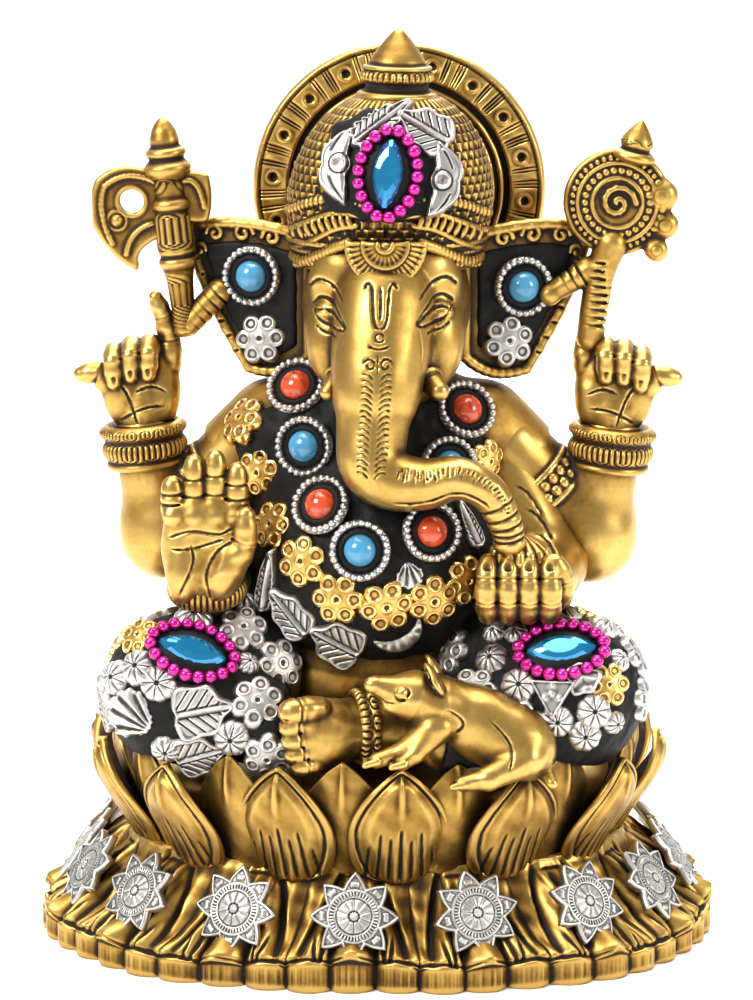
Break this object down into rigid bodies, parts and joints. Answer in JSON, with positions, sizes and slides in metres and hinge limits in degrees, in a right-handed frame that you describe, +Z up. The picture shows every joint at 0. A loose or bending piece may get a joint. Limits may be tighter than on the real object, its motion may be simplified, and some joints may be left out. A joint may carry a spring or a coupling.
{
  "type": "ganesha idol",
  "caption": "Seated four-armed elephant-headed figure in antique brass on an oval lotus base, inlaid with stones and silver trim in dark mastic.",
  "frame": {"origin": "middle of the underside of the oval lotus base, on the surface it stands on", "axes": "+Z up, the figure faces -Y, +X is the figure's left-hand side"},
  "size_m": [0.151, 0.108, 0.199],
  "materials": {
    "antique_brass": "cast and lightly polished, with dark brown patina left in the recesses",
    "black_mastic": "dull black setting paste, slightly lumpy",
    "silver_trim": "stamped white metal, blackened in the recesses",
    "turquoise": "polished opaque blue cabochon",
    "coral": "polished opaque orange-red cabochon with dark veins",
    "blue_crystal": "faceted foil-backed blue crystal",
    "pink_bead": "metallic pink beads"
  },
  "bodies": {
    "root": {"lotus_cup": "antique_brass", "lotus_skirt": "antique_brass", "trunk": "antique_brass", "right_tusk": "antique_brass", "left_tusk": "antique_brass", "sweet": "antique_brass", "left_front_hand": "antique_brass", "right_front_hand": "antique_brass", "right_front_cuff": "antique_brass", "mouse": "antique_brass", "left_foot": "antique_brass", "right_rear_hand": "antique_brass", "left_rear_hand": "antique_brass", "axe": "antique_brass", "noose": "antique_brass", "right_rear_bracelet": "antique_brass", "left_rear_bracelet": "antique_brass", "right_ear": "antique_brass", "left_ear": "antique_brass", "crown_finial": "antique_brass", "crown": "antique_brass", "head": "antique_brass", "halo": "antique_brass", "torso": "antique_brass", "right_front_forearm": "antique_brass", "left_front_forearm": "antique_brass", "right_rear_arm": "antique_brass", "left_rear_arm": "antique_brass", "right_leg": "antique_brass", "left_leg": "antique_brass", "stone_ear_right": "turquoise", "stone_ear_left": "turquoise", "stone_shoulder_right": "coral", "stone_chest_right": "turquoise", "stone_belly_right": "coral", "stone_belly_middle": "turquoise", "stone_belly_left": "coral", "stone_chest_left": "turquoise", "stone_shoulder_left": "coral", "crystal_crown": "blue_crystal", "crystal_right_knee": "blue_crystal", "crystal_left_knee": "blue_crystal", "bead_ring_crown": "pink_bead", "bead_ring_right_knee": "pink_bead", "bead_ring_left_knee": "pink_bead", "bezel_ear_right": "silver_trim", "bezel_ear_left": "silver_trim", "bezel_shoulder_right": "silver_trim", "bezel_chest_right": "silver_trim", "bezel_belly_right": "silver_trim", "bezel_belly_middle": "silver_trim", "bezel_belly_left": "silver_trim", "bezel_chest_left": "silver_trim", "bezel_shoulder_left": "silver_trim", "right_ear_mastic": "black_mastic", "left_ear_mastic": "black_mastic", "crown_mastic": "black_mastic", "belly_mastic": "black_mastic", "right_leg_mastic": "black_mastic", "left_leg_mastic": "black_mastic"}
  },
  "joints": []
}
